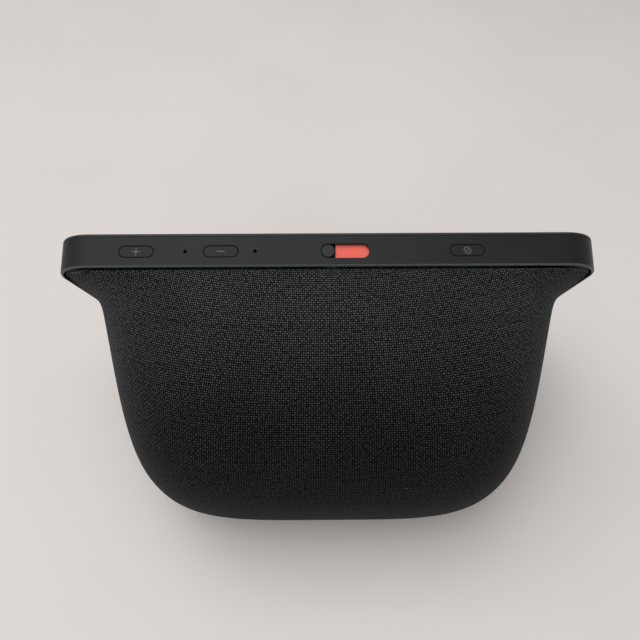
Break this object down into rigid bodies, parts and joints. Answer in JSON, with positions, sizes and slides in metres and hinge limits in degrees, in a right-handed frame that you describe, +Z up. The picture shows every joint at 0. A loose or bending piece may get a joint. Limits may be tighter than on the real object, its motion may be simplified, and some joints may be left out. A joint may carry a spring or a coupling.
{
  "type": "smart display",
  "caption": "Compact tabletop smart display: a tilted touch screen module on a fabric covered speaker body, with top edge buttons and a sliding camera shutter.",
  "frame": {"origin": "on the table, under the middle of the bounding box", "axes": "+Z up, the screen faces -Y, +X is the right of someone looking at the screen"},
  "size_m": [0.147, 0.0909, 0.0819],
  "materials": {
    "antenna_left": "printed film",
    "antenna_right": "printed film",
    "backlight_unit": "white diffuser",
    "base_screw_1": "zinc plated",
    "base_screw_2": "zinc plated",
    "base_screw_3": "zinc plated",
    "base_screw_4": "zinc plated",
    "base_tray": "fine textured black",
    "camera_lens": "dark lens",
    "camera_module": "black",
    "controls_board": "green circuit board",
    "display_chassis": "pressed plate",
    "display_frame": "satin charcoal",
    "display_ribbon": "amber film",
    "display_screw_1": "zinc plated",
    "display_screw_2": "zinc plated",
    "display_screw_3": "zinc plated",
    "display_screw_4": "zinc plated",
    "fabric_cover": "charcoal plain knit",
    "front_glass": "black cover glass, opaque",
    "heat_sink": "extruded",
    "inlet_surround": "satin black",
    "jack_board": "green circuit board",
    "lcd_panel": "dark panel",
    "main_board": "green circuit board",
    "microphone_left": "gold plated can",
    "microphone_right": "gold plated can",
    "mute_button": "satin charcoal",
    "mute_switch": "dome switch",
    "power_jack": "black",
    "power_jack_pin": "plated",
    "processor_shield": "tinned steel",
    "radio_shield": "tinned steel",
    "rear_housing": "fine textured black",
    "rubber_foot": "matt black",
    "shutter_carrier": "matt black",
    "shutter_indicator": "coral red",
    "shutter_knob": "satin black",
    "speaker_cone": "treated paper and rubber roll",
    "speaker_dust_cap": "satin black",
    "speaker_enclosure": "black",
    "speaker_frame": "black",
    "speaker_gasket": "closed cell foam",
    "speaker_magnet": "plated ferrite",
    "volume_down_button": "satin charcoal",
    "volume_down_switch": "dome switch",
    "volume_up_button": "satin charcoal",
    "volume_up_switch": "dome switch"
  },
  "bodies": {
    "device": {"antenna_left": "antenna_left", "antenna_right": "antenna_right", "backlight_unit": "backlight_unit", "base_screw_1": "base_screw_1", "base_screw_2": "base_screw_2", "base_screw_3": "base_screw_3", "base_screw_4": "base_screw_4", "base_tray": "base_tray", "camera_lens": "camera_lens", "camera_module": "camera_module", "controls_board": "controls_board", "display_chassis": "display_chassis", "display_frame": "display_frame", "display_ribbon": "display_ribbon", "display_screw_1": "display_screw_1", "display_screw_2": "display_screw_2", "display_screw_3": "display_screw_3", "display_screw_4": "display_screw_4", "fabric_cover": "fabric_cover", "front_glass": "front_glass", "heat_sink": "heat_sink", "inlet_surround": "inlet_surround", "jack_board": "jack_board", "lcd_panel": "lcd_panel", "main_board": "main_board", "microphone_left": "microphone_left", "microphone_right": "microphone_right", "mute_switch": "mute_switch", "power_jack": "power_jack", "power_jack_pin": "power_jack_pin", "processor_shield": "processor_shield", "radio_shield": "radio_shield", "rear_housing": "rear_housing", "rubber_foot": "rubber_foot", "speaker_cone": "speaker_cone", "speaker_dust_cap": "speaker_dust_cap", "speaker_enclosure": "speaker_enclosure", "speaker_frame": "speaker_frame", "speaker_gasket": "speaker_gasket", "speaker_magnet": "speaker_magnet", "volume_down_switch": "volume_down_switch", "volume_up_switch": "volume_up_switch"},
    "volume_up": {"volume_up_button": "volume_up_button"},
    "volume_down": {"volume_down_button": "volume_down_button"},
    "mute": {"mute_button": "mute_button"},
    "shutter": {"shutter_knob": "shutter_knob", "shutter_carrier": "shutter_carrier", "shutter_indicator": "shutter_indicator"}
  },
  "joints": [
    {"name": "volume_up_press", "type": "slide", "parent": "device", "child": "volume_up", "axis": [0, -0.4067, -0.9135], "range_m": [0, 0.0005], "stiffness_N_per_m": 2500},
    {"name": "volume_down_press", "type": "slide", "parent": "device", "child": "volume_down", "axis": [0, -0.4067, -0.9135], "range_m": [0, 0.0005], "stiffness_N_per_m": 2500},
    {"name": "mute_press", "type": "slide", "parent": "device", "child": "mute", "axis": [0, -0.4067, -0.9135], "range_m": [0, 0.0005], "stiffness_N_per_m": 2500},
    {"name": "shutter_slide", "type": "slide", "parent": "device", "child": "shutter", "axis": [-1, 0, 0], "range_m": [0, 0.0088]}
  ]
}
